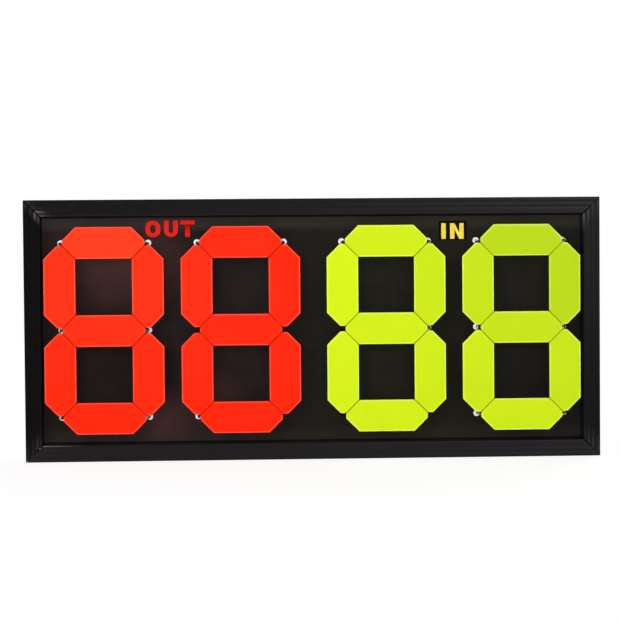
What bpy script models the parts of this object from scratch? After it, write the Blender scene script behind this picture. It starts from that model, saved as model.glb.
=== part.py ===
"""Substitution board: a shallow black box with two red and two lime digits of seven turning flaps.

Lengths are in metres. The front faces -Y, +X runs to the right as the front is seen, and +Z is up.
The origin lies under the middle of the board, on the surface that its bottom rail stands on.
A flap turns about its own long axis between two posts, and shows its colour or its black back.
"""

import math

import bmesh
import bpy
from mathutils import Matrix, Vector

# Flaps
FLAP_WIDTH = 0.0425
FLAP_THICKNESS = 0.0045
FLAP_EDGE_BEVEL = 0.0008
FLAP_CORNER_RADIUS = 0.0015
FLAP_CORNER_STEPS = 2
POST_PITCH = 0.1176  # from post to post, the same along every flap
MITRE_GAP = 0.0005  # between the sloping ends of two flaps, measured square to them

# Spaces between the digits and round them
DIGIT_GAP = 0.0227
PAIR_GAP = 0.0354
SIDE_MARGIN = 0.0039
END_MARGIN = 0.01415

# Depth, from the front to the back
FRONT_RECESS = 0.003  # from the front plane to the faces of the flaps
SWEEP_CLEARANCE = 0.0012  # from the panel to the edge of a flap that stands square to it
PANEL_THICKNESS = 0.003
BACK_LIP = 0.00425  # how far the rails reach behind the panel

# Rails
RAIL_FACE = 0.022
RAIL_WALL = 0.0018
RIB_COUNT = 2
RIB_WIDTH = 0.0066
RIB_RISE = 0.0004  # how far the grooves beside a rib lie behind its crest
RIB_STEPS = 6
LIP_WIDTH = 0.0036
LIP_DROP = 0.0024
LIP_STEPS = 4
OUTER_ROUND = 0.0012
PANEL_BITE = 0.005  # how far the panel's edge reaches into a rail
PANEL_PLAY = 0.0005  # at the bottom of the groove
KEY_ARM = 0.040  # length of a corner key's arm past the rail's inner edge
KEY_BITE = 0.0002  # how far a corner key is sunk in the rail that carries it

# Posts
STEM_RADIUS = 0.0025
TIP_CLEARANCE = 0.0012  # from the stem to the blunt tip of a flap
COLLAR_RADIUS = 0.00475
COLLAR_HEIGHT = 0.003
HEAD_RADIUS = 0.004
HEAD_HEIGHT = 0.0014
PIN_RADIUS = 0.0009
PIN_REACH = 0.0055  # how far a pin goes into a flap
PIN_CLEARANCE = 0.0004
STEM_SIDES = 10
PIN_SIDES = 8

FIT_GAP = 0.0003  # between pieces that touch

# Sizes that follow
tip_setback = STEM_RADIUS + TIP_CLEARANCE
mitre_offset = MITRE_GAP / math.sqrt(2)
axis_inset = FRONT_RECESS + FLAP_THICKNESS / 2
panel_setback = math.hypot(FLAP_WIDTH, FLAP_THICKNESS) / 2 + SWEEP_CLEARANCE
panel_front = axis_inset + panel_setback
panel_back = panel_front + PANEL_THICKNESS
board_depth = panel_back + BACK_LIP
digit_width = POST_PITCH + FLAP_WIDTH
digit_height = 2 * POST_PITCH + FLAP_WIDTH
window_width = 4 * digit_width + 2 * DIGIT_GAP + PAIR_GAP + 2 * SIDE_MARGIN
window_height = digit_height + 2 * END_MARGIN
board_width = window_width + 2 * RAIL_FACE
board_height = window_height + 2 * RAIL_FACE
front_y = -board_depth / 2
axis_y = front_y + axis_inset
middle_z = board_height / 2
unit_offset = PAIR_GAP / 2 + digit_width / 2
ten_offset = unit_offset + digit_width + DIGIT_GAP

DIGITS = {
    "out_tens": -ten_offset,
    "out_units": -unit_offset,
    "in_tens": unit_offset,
    "in_units": ten_offset,
}
# Where a flap's middle lies in its digit, in half pitches across and whole pitches up, and if it stands upright.
FLAPS = {
    "top": (0, 1, False),
    "upper_left": (-1, 0.5, True),
    "upper_right": (1, 0.5, True),
    "middle": (0, 0, False),
    "lower_left": (-1, -0.5, True),
    "lower_right": (1, -0.5, True),
    "bottom": (0, -1, False),
}
ROWS = {"top": 1, "middle": 0, "bottom": -1}
SIDES = {"left": -1, "right": 1}


def clear_scene():
    for obj in list(bpy.data.objects):
        bpy.data.objects.remove(obj)


def new_collection(name):
    collection = bpy.data.collections.new(name)
    bpy.context.scene.collection.children.link(collection)
    return collection


def new_material(name, colour, roughness, metallic=0.0):
    material = bpy.data.materials.new(name)
    material.use_nodes = True
    shader = material.node_tree.nodes["Principled BSDF"]
    shader.inputs["Base Color"].default_value = (*colour, 1.0)
    shader.inputs["Roughness"].default_value = roughness
    shader.inputs["Metallic"].default_value = metallic
    material.diffuse_color = (*colour, 1.0)
    return material


def add_object(name, mesh, collection, materials=()):
    """An object of this mesh, with its materials on the object, so that copies can share the mesh."""
    obj = bpy.data.objects.new(name, mesh)
    collection.objects.link(obj)
    while len(mesh.materials) < len(materials):
        mesh.materials.append(None)
    for slot, material in zip(obj.material_slots, materials):
        slot.link = "OBJECT"
        slot.material = material
    return obj


def helper(obj):
    """Marks a cutter or another helper, which isn't part of the board."""
    obj.hide_render = True
    obj.display_type = "WIRE"
    return obj


def finished_mesh(obj):
    """The object's mesh with its modifiers or its curve worked out and its seams welded."""
    bpy.context.view_layer.update()
    evaluated = obj.evaluated_get(bpy.context.evaluated_depsgraph_get())
    mesh = bpy.data.meshes.new_from_object(evaluated)
    mesh.name = obj.name
    shape = bmesh.new()
    shape.from_mesh(mesh)
    bmesh.ops.remove_doubles(shape, verts=shape.verts, dist=1e-6)
    bmesh.ops.recalc_face_normals(shape, faces=shape.faces)
    shape.to_mesh(mesh)
    shape.free()
    return mesh


def box_mesh(name, low, high):
    shape = bmesh.new()
    bmesh.ops.create_cube(shape, size=1)
    low, high = Vector(low), Vector(high)
    size = high - low
    bmesh.ops.transform(
        shape, matrix=Matrix.Translation((low + high) / 2) @ Matrix.Diagonal((*size, 1)), verts=shape.verts
    )
    mesh = bpy.data.meshes.new(name)
    shape.to_mesh(mesh)
    shape.free()
    return mesh


def rods_mesh(name, rods, radius, sides):
    """Round rods in one mesh, each from a start along a direction for a length."""
    shape = bmesh.new()
    for start, direction, length in rods:
        direction = Vector(direction)
        turn = direction.to_track_quat("Z", "Y").to_matrix().to_4x4()
        place = Matrix.Translation(Vector(start) + direction * length / 2) @ turn
        bmesh.ops.create_cone(
            shape, cap_ends=True, segments=sides, radius1=radius, radius2=radius, depth=length, matrix=place
        )
    mesh = bpy.data.meshes.new(name)
    shape.to_mesh(mesh)
    shape.free()
    return mesh


def outline_mesh(name, outlines, thickness):
    """A flat outline, with any holes in it, thickened evenly to both sides of its plane."""
    curve = bpy.data.curves.new(name, "CURVE")
    curve.dimensions = "2D"
    curve.fill_mode = "BOTH"
    curve.extrude = thickness / 2
    for points in outlines:
        spline = curve.splines.new("POLY")
        spline.points.add(len(points) - 1)
        for point, (x, y) in zip(spline.points, points):
            point.co = (x, y, 0, 1)
        spline.use_cyclic_u = True
    obj = bpy.data.objects.new(name, curve)
    bpy.context.scene.collection.objects.link(obj)
    mesh = finished_mesh(obj)
    bpy.data.objects.remove(obj)
    return mesh


def join_or_cut(obj, operation, other):
    modifier = obj.modifiers.new(other.name, "BOOLEAN")
    modifier.operation = operation
    modifier.solver = "EXACT"
    modifier.object = other


def turned_mesh(name, profile, sides):
    """A turned shape about Z from (radius, height) points, which run from the top down its outer side."""
    mesh = bpy.data.meshes.new(name)
    edges = [(i, i + 1) for i in range(len(profile) - 1)]
    mesh.from_pydata([(radius, 0, height) for radius, height in profile], edges, [])
    obj = bpy.data.objects.new(name, mesh)
    bpy.context.scene.collection.objects.link(obj)
    screw = obj.modifiers.new("turn", "SCREW")
    screw.angle = math.tau
    screw.steps = screw.render_steps = sides
    screw.use_merge_vertices = True
    screw.merge_threshold = 1e-5
    turned = finished_mesh(obj)
    bpy.data.objects.remove(obj)
    return turned


def smooth(mesh, degrees):
    mesh.shade_smooth()
    mesh.set_sharp_from_angle(angle=math.radians(degrees))


def rounded(points, radius, steps):
    """The outline with an arc at each of its corners."""
    corners = [Vector(point) for point in points]
    made = []
    for i, corner in enumerate(corners):
        before = (corner - corners[i - 1]).normalized()
        after = (corners[(i + 1) % len(corners)] - corner).normalized()
        turn = math.atan2(before.cross(after), before.dot(after))
        start = corner - before * radius * math.tan(abs(turn) / 2)
        centre = start + Vector((-before.y, before.x)) * math.copysign(radius, turn)
        for step in range(steps + 1):
            made.append(centre + Matrix.Rotation(turn * step / steps, 2) @ (start - centre))
    return made


def flap_outline():
    """Half of the flap's length is half a pitch less the tip's setback. The ends slope at 45 degrees."""
    half = FLAP_WIDTH / 2
    blunt = tip_setback - mitre_offset
    tip_x = POST_PITCH / 2 - tip_setback
    edge_x = POST_PITCH / 2 - half - mitre_offset
    right = [(tip_x, -blunt), (tip_x, blunt), (edge_x, half)]
    left = [(-edge_x, half), (-tip_x, blunt), (-tip_x, -blunt)]
    corners = [*right, *left, (-edge_x, -half), (edge_x, -half)]
    return rounded(corners, FLAP_CORNER_RADIUS, FLAP_CORNER_STEPS)


def make_flap_mesh(cutters):
    """A flap lies along X with its coloured face at -Y. A blind bore in each tip takes a pin."""
    plate = outline_mesh("flap", [flap_outline()], FLAP_THICKNESS)
    plate.transform(Matrix.Rotation(math.pi / 2, 4, "X"))
    blank = helper(add_object("flap_blank", plate, cutters))
    bevel = blank.modifiers.new("edges", "BEVEL")
    bevel.width = FLAP_EDGE_BEVEL
    bevel.limit_method = "ANGLE"
    bevel.angle_limit = math.radians(60)
    depth = PIN_REACH + PIN_CLEARANCE
    tip_x = POST_PITCH / 2 - tip_setback
    rods = [((side * (tip_x - depth), 0, 0), (side, 0, 0), depth + tip_setback) for side in (-1, 1)]
    bores = rods_mesh("flap_bores", rods, PIN_RADIUS + PIN_CLEARANCE, PIN_SIDES)
    join_or_cut(blank, "DIFFERENCE", helper(add_object("flap_bores", bores, cutters)))
    mesh = finished_mesh(blank)
    mesh.materials.append(None)
    mesh.materials.append(None)
    for face in mesh.polygons:
        face.material_index = int(face.center.y > FLAP_THICKNESS / 4)
    smooth(mesh, 20)
    return mesh


def make_flaps(parts, cutters, board):
    mesh = make_flap_mesh(cutters)
    back = new_material("flap_back_black", (0.012, 0.012, 0.013), 0.5)
    faces = {
        "out": new_material("flap_red", (0.95, 0.03, 0.012), 0.45),
        "in": new_material("flap_lime", (0.62, 0.88, 0.012), 0.45),
    }
    for digit, digit_x in DIGITS.items():
        for place, (across, up, upright) in FLAPS.items():
            flap = add_object(f"{digit}_{place}_flap", mesh, parts, (faces[digit.split("_")[0]], back))
            flap.location = (digit_x + across * POST_PITCH / 2, axis_y, middle_z + up * POST_PITCH)
            if upright:
                flap.rotation_euler = (0, -math.pi / 2, 0)
            flap.parent = board


def post_profile():
    """Heights are from the panel's front face: a stem, a collar on the panel, a spigot through it and a head."""
    top = panel_setback + FLAP_THICKNESS / 2
    collar_top = FIT_GAP + COLLAR_HEIGHT
    head_top = -PANEL_THICKNESS - FIT_GAP
    return [
        (0, top),
        (STEM_RADIUS, top),
        (STEM_RADIUS, collar_top),
        (COLLAR_RADIUS, collar_top),
        (COLLAR_RADIUS, FIT_GAP),
        (STEM_RADIUS, FIT_GAP),
        (STEM_RADIUS, head_top),
        (HEAD_RADIUS, head_top),
        (HEAD_RADIUS, head_top - HEAD_HEIGHT),
        (0, head_top - HEAD_HEIGHT),
    ]


def make_post_mesh(row, side, cutters):
    """A post's stem stands along -Y from its origin on the panel. It has a pin for each flap that ends at it."""
    name = f"post_{row}_{side}"
    directions = [(-SIDES[side], 0, 0)]
    if ROWS[row] < 1:
        directions.append((0, 0, 1))
    if ROWS[row] > -1:
        directions.append((0, 0, -1))
    inner = (STEM_RADIUS + PIN_RADIUS) / 2
    reach = tip_setback + PIN_REACH - inner
    stem = turned_mesh(name, post_profile(), STEM_SIDES)
    stem.transform(Matrix.Rotation(math.pi / 2, 4, "X"))
    blank = helper(add_object(f"{name}_blank", stem, cutters))
    rods = [(Vector((0, -panel_setback, 0)) + Vector(way) * inner, way, reach) for way in directions]
    pins = rods_mesh(f"{name}_pins", rods, PIN_RADIUS, PIN_SIDES)
    join_or_cut(blank, "UNION", helper(add_object(f"{name}_pins", pins, cutters)))
    mesh = finished_mesh(blank)
    smooth(mesh, 40)
    return mesh


def make_posts(parts, cutters, board):
    white = new_material("post_nylon", (0.85, 0.85, 0.83), 0.4)
    panel_y = front_y + panel_front
    for row, up in ROWS.items():
        for side, across in SIDES.items():
            mesh = make_post_mesh(row, side, cutters)
            for digit, digit_x in DIGITS.items():
                post = add_object(f"{digit}_post_{row}_{side}", mesh, parts, (white,))
                post.location = (digit_x + across * POST_PITCH / 2, panel_y, middle_z + up * POST_PITCH)
                post.parent = board


def rail_outline():
    """The rail's section. X runs inwards from the board's outer edge and Y runs back from its front plane."""
    points = [(0, board_depth), (0, OUTER_ROUND), (OUTER_ROUND * 0.3, OUTER_ROUND * 0.3)]
    # The inner band begins like one more rib, stays flat and rolls over in the lip.
    for rib in range(RIB_COUNT + 1):
        first = 1 if rib == 0 else 0
        last = RIB_STEPS if rib < RIB_COUNT else RIB_STEPS // 2
        for step in range(first, last):
            share = step / RIB_STEPS
            points.append(((rib + share) * RIB_WIDTH, RIB_RISE * (2 * share - 1) ** 2))
    for step in range(LIP_STEPS + 1):
        turn = math.pi / 2 * step / LIP_STEPS
        across = RAIL_FACE - LIP_WIDTH * (1 - math.sin(turn))
        points.append((across, LIP_DROP * (1 - math.cos(turn))))
    groove = RAIL_FACE - PANEL_BITE - PANEL_PLAY
    points.append((RAIL_FACE, panel_front - FIT_GAP))
    points.append((groove, panel_front - FIT_GAP))
    points.append((groove, panel_back + FIT_GAP))
    points.append((RAIL_FACE, panel_back + FIT_GAP))
    points.append((RAIL_FACE, board_depth))
    return points


def channel_limits():
    """The hollow's outer, inner and deeper inner sides, then its front, its step and its back."""
    groove = RAIL_FACE - PANEL_BITE - PANEL_PLAY
    across = (RAIL_WALL, groove - RAIL_WALL, RAIL_FACE - RAIL_WALL)
    back = (LIP_DROP + RAIL_WALL, panel_front - FIT_GAP - RAIL_WALL, board_depth - RAIL_WALL)
    return across, back


def channel_outline():
    (outer, inner, deep), (front, step, back) = channel_limits()
    return [(outer, front), (deep, front), (deep, step), (inner, step), (inner, back), (outer, back)]


def add_mitre_cutters(rail, length, cutters):
    """Each end is cut at 45 degrees, with half of the gap to the next rail."""
    block = 3 * max(board_depth, RAIL_FACE)
    half = block / 2
    for end, degrees in ((1, 45), (-1, 135)):
        mesh = box_mesh(f"{rail.name}_mitre", (-half, -half, -half), (half, half, half))
        cutter = helper(add_object(f"{rail.name}_mitre_{'high' if end > 0 else 'low'}", mesh, cutters))
        away = Vector((1, 0, end)).normalized()
        face = Vector((RAIL_FACE / 2, board_depth / 2, end * (length - RAIL_FACE) / 2))
        cutter.location = face + away * (half - FIT_GAP / 2)
        cutter.rotation_euler = (0, math.radians(degrees), 0)
        cutter.parent = rail
        join_or_cut(rail, "DIFFERENCE", cutter)


def add_corner_keys(rail, length, cutters):
    """A key's first arm is sunk in this rail's channel, and its second runs on into the next rail's."""
    (outer, inner, _), (front, _, back) = channel_limits()
    for end in (1, -1):
        near = end * (length / 2 - inner + FIT_GAP)
        far = end * (length / 2 - outer - FIT_GAP)
        start = end * (length / 2 - RAIL_FACE - KEY_ARM)
        arms = {
            "own": ((outer - KEY_BITE, front + FIT_GAP, start), (inner - FIT_GAP, back - FIT_GAP, far)),
            "next": ((outer + FIT_GAP, front + FIT_GAP, near), (RAIL_FACE + KEY_ARM, back - FIT_GAP, far)),
        }
        for arm, (one, other) in arms.items():
            low = [min(pair) for pair in zip(one, other)]
            high = [max(pair) for pair in zip(one, other)]
            name = f"{rail.name}_key_{'high' if end > 0 else 'low'}_{arm}"
            key = helper(add_object(name, box_mesh(name, low, high), cutters))
            key.parent = rail
            join_or_cut(rail, "UNION", key)


def make_rails(parts, cutters, board):
    black = new_material("rail_black", (0.018, 0.018, 0.02), 0.35)
    # Each rail's middle, its turn about Y and its length. The long rails carry the corner keys.
    rails = {
        "rail_left": ((-board_width / 2, front_y, middle_z), 0, board_height, False),
        "rail_top": ((0, front_y, board_height), 90, board_width, True),
        "rail_right": ((board_width / 2, front_y, middle_z), 180, board_height, False),
        "rail_bottom": ((0, front_y, 0), 270, board_width, True),
    }
    for name, (middle, degrees, length, carries_keys) in rails.items():
        mesh = outline_mesh(name, [rail_outline(), channel_outline()], length)
        rail = add_object(name, mesh, parts, (black,))
        rail.location = middle
        rail.rotation_euler = (0, math.radians(degrees), 0)
        rail.parent = board
        add_mitre_cutters(rail, length, cutters)
        if carries_keys:
            add_corner_keys(rail, length, cutters)


def make_panel(parts, cutters, board):
    black = new_material("panel_black", (0.016, 0.014, 0.014), 0.6)
    half_width = window_width / 2 + PANEL_BITE
    half_height = window_height / 2 + PANEL_BITE
    panel_y = front_y + panel_front
    low = (-half_width, panel_y, middle_z - half_height)
    high = (half_width, panel_y + PANEL_THICKNESS, middle_z + half_height)
    panel = add_object("panel", box_mesh("panel", low, high), parts, (black,))
    panel.parent = board
    rods = []
    for digit_x in DIGITS.values():
        for up in ROWS.values():
            for across in SIDES.values():
                x = digit_x + across * POST_PITCH / 2
                start = (x, panel_y - PANEL_THICKNESS, middle_z + up * POST_PITCH)
                rods.append((start, (0, 1, 0), 3 * PANEL_THICKNESS))
    holes = rods_mesh("panel_holes", rods, STEM_RADIUS + FIT_GAP, STEM_SIDES)
    join_or_cut(panel, "DIFFERENCE", helper(add_object("panel_holes", holes, cutters)))


def main():
    clear_scene()
    parts = new_collection("substitution_board")
    cutters = new_collection("cutters")
    board = bpy.data.objects.new("board", None)
    parts.objects.link(board)
    make_rails(parts, cutters, board)
    make_panel(parts, cutters, board)
    make_posts(parts, cutters, board)
    make_flaps(parts, cutters, board)


main()
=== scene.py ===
import math

import bmesh
import bpy
from mathutils import Matrix, Vector


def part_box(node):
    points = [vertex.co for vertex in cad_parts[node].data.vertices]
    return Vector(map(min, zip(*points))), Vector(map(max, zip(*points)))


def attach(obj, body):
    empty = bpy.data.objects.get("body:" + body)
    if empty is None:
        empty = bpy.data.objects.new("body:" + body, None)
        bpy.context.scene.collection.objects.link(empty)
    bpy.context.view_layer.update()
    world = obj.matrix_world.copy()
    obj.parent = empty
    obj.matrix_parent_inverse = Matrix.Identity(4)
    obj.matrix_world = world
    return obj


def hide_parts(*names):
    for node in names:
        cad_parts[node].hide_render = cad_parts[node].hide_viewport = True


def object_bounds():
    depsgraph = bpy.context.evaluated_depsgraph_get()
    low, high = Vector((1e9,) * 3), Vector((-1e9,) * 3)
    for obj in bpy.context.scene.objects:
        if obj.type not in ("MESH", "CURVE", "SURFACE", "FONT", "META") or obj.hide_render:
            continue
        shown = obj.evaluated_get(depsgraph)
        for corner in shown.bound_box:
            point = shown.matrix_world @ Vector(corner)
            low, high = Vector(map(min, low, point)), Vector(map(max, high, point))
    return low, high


# Substitution board: two red and two lime digits of turning flaps in a shallow black frame.
# Metres. The front looks towards -Y, +X is to the right as the front is seen, +Z is up.

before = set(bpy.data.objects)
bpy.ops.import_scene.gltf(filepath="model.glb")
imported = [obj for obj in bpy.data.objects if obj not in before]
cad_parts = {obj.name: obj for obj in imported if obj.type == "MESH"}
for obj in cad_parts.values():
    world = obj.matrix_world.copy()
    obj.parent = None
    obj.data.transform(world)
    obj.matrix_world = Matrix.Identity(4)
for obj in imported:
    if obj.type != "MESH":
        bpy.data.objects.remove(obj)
cadLow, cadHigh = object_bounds()
mm = 0.001


# Small helpers for lengths, nodes, meshes and pieces

def lengths(**given):
    # named lengths, given in millimetres
    return {name: value * mm for name, value in given.items()}


def addNode(tree, kind, values=None, **options):
    made = tree.nodes.new("ShaderNode" + kind)
    for option, value in options.items():
        setattr(made, option, value)
    for socket, value in (values or {}).items():
        if isinstance(value, bpy.types.NodeSocket):
            tree.links.new(value, made.inputs[socket])
        else:
            made.inputs[socket].default_value = value
    return made


def mixColours(tree, share, one, other, blend="MIX"):
    values = {0: share}
    for socket, colour in ((6, one), (7, other)):
        values[socket] = colour if isinstance(colour, bpy.types.NodeSocket) else (*colour, 1)
    return addNode(tree, "Mix", values, data_type="RGBA", blend_type=blend).outputs[2]


def layered(tree, colour, *layers):
    # lays colours over the first one, each as (share, colour)
    for share, over in layers:
        colour = mixColours(tree, share, colour, over)
    return colour


def spread(tree, value, low, high, start=0.0, end=1.0):
    # stretches the part of a value between low and high over start to end
    ranges = {"Value": value, "From Min": low, "From Max": high, "To Min": start, "To Max": end}
    return addNode(tree, "MapRange", ranges).outputs["Result"]


def multiply(tree, one, other):
    return addNode(tree, "Math", {0: one, 1: other}, operation="MULTIPLY").outputs[0]


def add(tree, one, other):
    return addNode(tree, "Math", {0: one, 1: other}, operation="ADD").outputs[0]


def larger(tree, one, other):
    return addNode(tree, "Math", {0: one, 1: other}, operation="MAXIMUM").outputs[0]


def attribute(tree, name, kind="GEOMETRY"):
    # a value kept on the mesh's points or, with the kind OBJECT, on the piece
    return addNode(tree, "Attribute", attribute_name=name, attribute_type=kind).outputs["Fac"]


def ownPlace(tree, stretch=(1, 1, 1)):
    # the piece's own coordinates, in metres; a share under 1 draws a pattern out along that axis
    place = addNode(tree, "TexCoord").outputs["Object"]
    return addNode(tree, "Mapping", {"Vector": place, "Scale": stretch}).outputs["Vector"]


def noise(tree, perMetre, detail=3.0, rough=0.55, stretch=(1, 1, 1), shift=None):
    values = {"Vector": ownPlace(tree, stretch), "Scale": perMetre, "Detail": detail, "Roughness": rough}
    if shift is None:
        return addNode(tree, "TexNoise", values).outputs["Fac"]
    values["W"] = shift  # each piece gets its own cut of the pattern
    return addNode(tree, "TexNoise", values, noise_dimensions="4D").outputs["Fac"]


def patterns(tree, facts, *names, shift=None):
    # noises by name, each set in the facts by its cells per metre, detail, roughness and stretch
    return [noise(tree, *facts[name], shift=shift) for name in names]


def newMaterial(name, gloss=0.5, settings=None):
    material = bpy.data.materials.new(name)
    material.use_nodes = True
    shader = material.node_tree.nodes["Principled BSDF"]
    for socket, value in {"Specular IOR Level": gloss, **(settings or {})}.items():
        shader.inputs[socket].default_value = value
    return material, material.node_tree, shader


def scaled(colour, share):
    return [channel * share for channel in colour]


def finishShader(tree, shader, colour, roughness, heights):
    # heights are pairs of a pattern and its depth in metres
    tree.links.new(colour, shader.inputs["Base Color"])
    tree.links.new(roughness, shader.inputs["Roughness"])
    normal = {}
    for height, depth in heights:
        bump = addNode(tree, "Bump", {"Height": height, "Distance": depth, "Strength": 1.0, **normal})
        normal = {"Normal": bump.outputs["Normal"]}
    tree.links.new(normal["Normal"], shader.inputs["Normal"])


def finishedMesh(name, shape, sharpAngle=32):
    bmesh.ops.remove_doubles(shape, verts=shape.verts, dist=1e-7)
    bmesh.ops.recalc_face_normals(shape, faces=shape.faces)
    mesh = bpy.data.meshes.new(name)
    shape.to_mesh(mesh)
    shape.free()
    mesh.shade_smooth()
    mesh.set_sharp_from_angle(angle=math.radians(sharpAngle))
    return mesh


def evaluatedMesh(obj, name, sharpAngle=32):
    # what the modifiers or the curve make, as a welded mesh of its own, and the source object goes
    bpy.context.view_layer.update()
    made = bpy.data.meshes.new_from_object(obj.evaluated_get(bpy.context.evaluated_depsgraph_get()))
    shape = bmesh.new()
    shape.from_mesh(made)
    bpy.data.objects.remove(obj)
    bpy.data.meshes.remove(made)
    return finishedMesh(name, shape, sharpAngle)


def looseObject(name, data):
    obj = bpy.data.objects.new(name, data)
    bpy.context.scene.collection.objects.link(obj)
    return obj


def placed(spot, degrees=0):
    # at a spot, turned about Y
    return Matrix.Translation(spot) @ Matrix.Rotation(math.radians(degrees), 4, "Y")


def combine(mesh, tools, operation, name):
    # cuts the tool meshes from the mesh, or joins them to it
    target = looseObject(name, mesh)
    helpers = [looseObject(name + "Tool", tool) for tool in tools]
    for helper in helpers:
        change = target.modifiers.new("change", "BOOLEAN")
        change.operation = operation
        change.solver = "EXACT"
        change.object = helper
    made = evaluatedMesh(target, name)
    for helper in helpers:
        bpy.data.objects.remove(helper)
    return made


def addPiece(name, mesh, material, body, nodes=(), place=None):
    piece = looseObject(name, mesh)
    if not mesh.materials:
        mesh.materials.append(None)
    piece.material_slots[0].link = "OBJECT"
    piece.material_slots[0].material = material
    if place is not None:
        piece.matrix_world = place
    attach(piece, body)
    if nodes:
        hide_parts(*nodes)
    return piece


# Flat outlines in a plane, as lists of (across, up), running anticlockwise

def quarterTurn(steps):
    # the cosine and sine of each step from 0 to 90 degrees
    turns = [math.radians(90 * step / steps) for step in range(steps + 1)]
    return [(math.cos(turn), math.sin(turn)) for turn in turns]


def leftOf(direction):
    return Vector((-direction.y, direction.x))


def signedArea(points):
    return sum(a[0] * b[1] - b[0] * a[1] for a, b in zip(points, points[1:] + points[:1])) / 2


def insetOutline(corners, inset):
    points = [Vector(corner) for corner in corners]
    moved = []
    for i, here in enumerate(points):
        into = leftOf((here - points[i - 1]).normalized())
        onwards = leftOf((points[(i + 1) % len(points)] - here).normalized())
        moved.append(here + (into + onwards) * inset / (1 + into.dot(onwards)))
    return moved


def roundOutline(corners, radius, steps):
    points = [Vector(corner) for corner in corners]
    made = []
    for i, here in enumerate(points):
        into = (here - points[i - 1]).normalized()
        onwards = (points[(i + 1) % len(points)] - here).normalized()
        turn = math.atan2(into.cross(onwards), into.dot(onwards))
        start = here - into * radius * math.tan(abs(turn) / 2)
        centre = start + leftOf(into) * math.copysign(radius, turn)
        for step in range(steps + 1):
            made.append(centre + Matrix.Rotation(turn * step / steps, 2) @ (start - centre))
    return made


def loftRings(shape, rings, capEnds=True):
    # joins rings of points, each with as many points, into one skin
    verts = [[shape.verts.new(point) for point in ring] for ring in rings]
    for lower, upper in zip(verts, verts[1:]):
        for i in range(len(lower)):
            j = (i + 1) % len(lower)
            shape.faces.new((lower[i], lower[j], upper[j], upper[i]))
    if capEnds:
        shape.faces.new(verts[0][::-1])
        shape.faces.new(verts[-1])
    return verts


def filmMesh(name, outlines, thickness, edge):
    # a flat sheet standing in the XZ plane, its back at Y 0 and its face towards -Y, with soft edges
    curve = bpy.data.curves.new(name, "CURVE")
    curve.dimensions = "2D"
    curve.fill_mode = "BOTH"
    curve.extrude = thickness / 2 - edge
    curve.bevel_depth = edge
    curve.bevel_resolution = 2
    curve.offset = -edge
    for points in outlines:
        spline = curve.splines.new("POLY")
        spline.points.add(len(points) - 1)
        for point, (across, up) in zip(spline.points, points):
            point.co = (across, up, 0, 1)
        spline.use_cyclic_u = True
    mesh = evaluatedMesh(looseObject(name, curve), name, sharpAngle=8)
    mesh.transform(Matrix.Translation((0, -thickness / 2, 0)) @ Matrix.Rotation(math.pi / 2, 4, "X"))
    return mesh


def turnedMesh(name, profile, sides, hollow=False):
    # turned about Y from (radius, along) points. A hollow piece's profile is a closed loop off the axis.
    shape = bmesh.new()
    angles = [math.tau * i / sides for i in range(sides)]
    rings = []
    for radius, along in profile:
        if radius > 0:
            points = [(radius * math.cos(a), along, radius * math.sin(a)) for a in angles]
            rings.append([shape.verts.new(point) for point in points])
        else:
            rings.append([shape.verts.new((0, along, 0))] * sides)
    if hollow:
        rings.append(rings[0])
    for one, other in zip(rings, rings[1:]):
        for i in range(sides):
            j = (i + 1) % sides
            corners = dict.fromkeys((one[i], one[j], other[j], other[i]))  # a point on the axis counts once
            shape.faces.new(list(corners))
    return finishedMesh(name, shape)


# Camera, as the photo was taken: from a little left and above, through a long lens

cameraFacts = {
    "eye": (-0.1025, -2.3627, 0.2711),
    "yaw": -2.375, "pitch": -1.721, "roll": 0.459,  # degrees, from looking straight along +Y
    "lens": 101.73, "sensor": 36.0,  # millimetres
}


def makeCamera():
    facts = cameraFacts
    camera = looseObject("camera", bpy.data.cameras.new("camera"))
    camera.data.lens = facts["lens"]
    camera.data.sensor_width = facts["sensor"]
    turn = Matrix.Rotation(math.radians(facts["yaw"]), 4, "Z")
    turn @= Matrix.Rotation(math.radians(facts["pitch"]), 4, "X")
    turn @= Matrix.Rotation(math.radians(facts["roll"]), 4, "Y")
    turn @= Matrix.Rotation(math.pi / 2, 4, "X")
    camera.matrix_world = Matrix.Translation(facts["eye"]) @ turn
    bpy.context.scene.camera = camera


# Light: soft lamps in front and from the left, a sheen from the upper right, one behind, and a plain room

lightFacts = {
    # the front and left lamps give light but no gloss, and the sheen gives gloss but no light
    "front": {"place": (-0.10, -2.75, 0.31), "aim": (0.0, 0.0, 0.18), "size": (0.25, 0.25), "watts": 42.5,
              "glossy": False, "diffuse": True},
    "left": {"place": (-0.95, -1.45, 0.80), "aim": (-0.15, 0.0, 0.18), "size": (0.6, 0.6), "watts": 8.0,
             "glossy": False, "diffuse": True},
    "sheen": {"place": (1.30, -1.80, 1.20), "aim": (0.10, 0.0, 0.20), "size": (1.3, 1.3), "watts": 66.0,
              "glossy": True, "diffuse": False},
    "behind": {"place": (1.2, 1.6, 1.3), "aim": (0.0, 0.0, 0.15), "size": (1.2, 1.2), "watts": 22.0,
               "glossy": True, "diffuse": True},
    "room": 0.34,        # how bright the room is at the sides
    "roomAhead": 0.10,   # and straight in front of the board, behind the camera
    "roomTurns": (-1.0, -0.55),     # where one gives way to the other, along Y
    "backdropStarts": (0.0, 0.12),  # the white backdrop stands behind the board
    "floorColour": (0.80, 0.80, 0.79),
    "floorGlow": 0.84,   # how white the camera sees the floor near the board before any lamp
    "floorShade": 0.26,  # and how much of the lamps' light and shadow comes on top
    "floorReach": 8.0, "floorDrop": 0.2 * mm,
    "floorMirrored": (-0.45, -0.28),  # in front of this the gloss on the board sees the bare floor
    "shadeReach": (0.35, 1.3),  # where the floor's shading starts to fade and where it has gone
}


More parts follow.
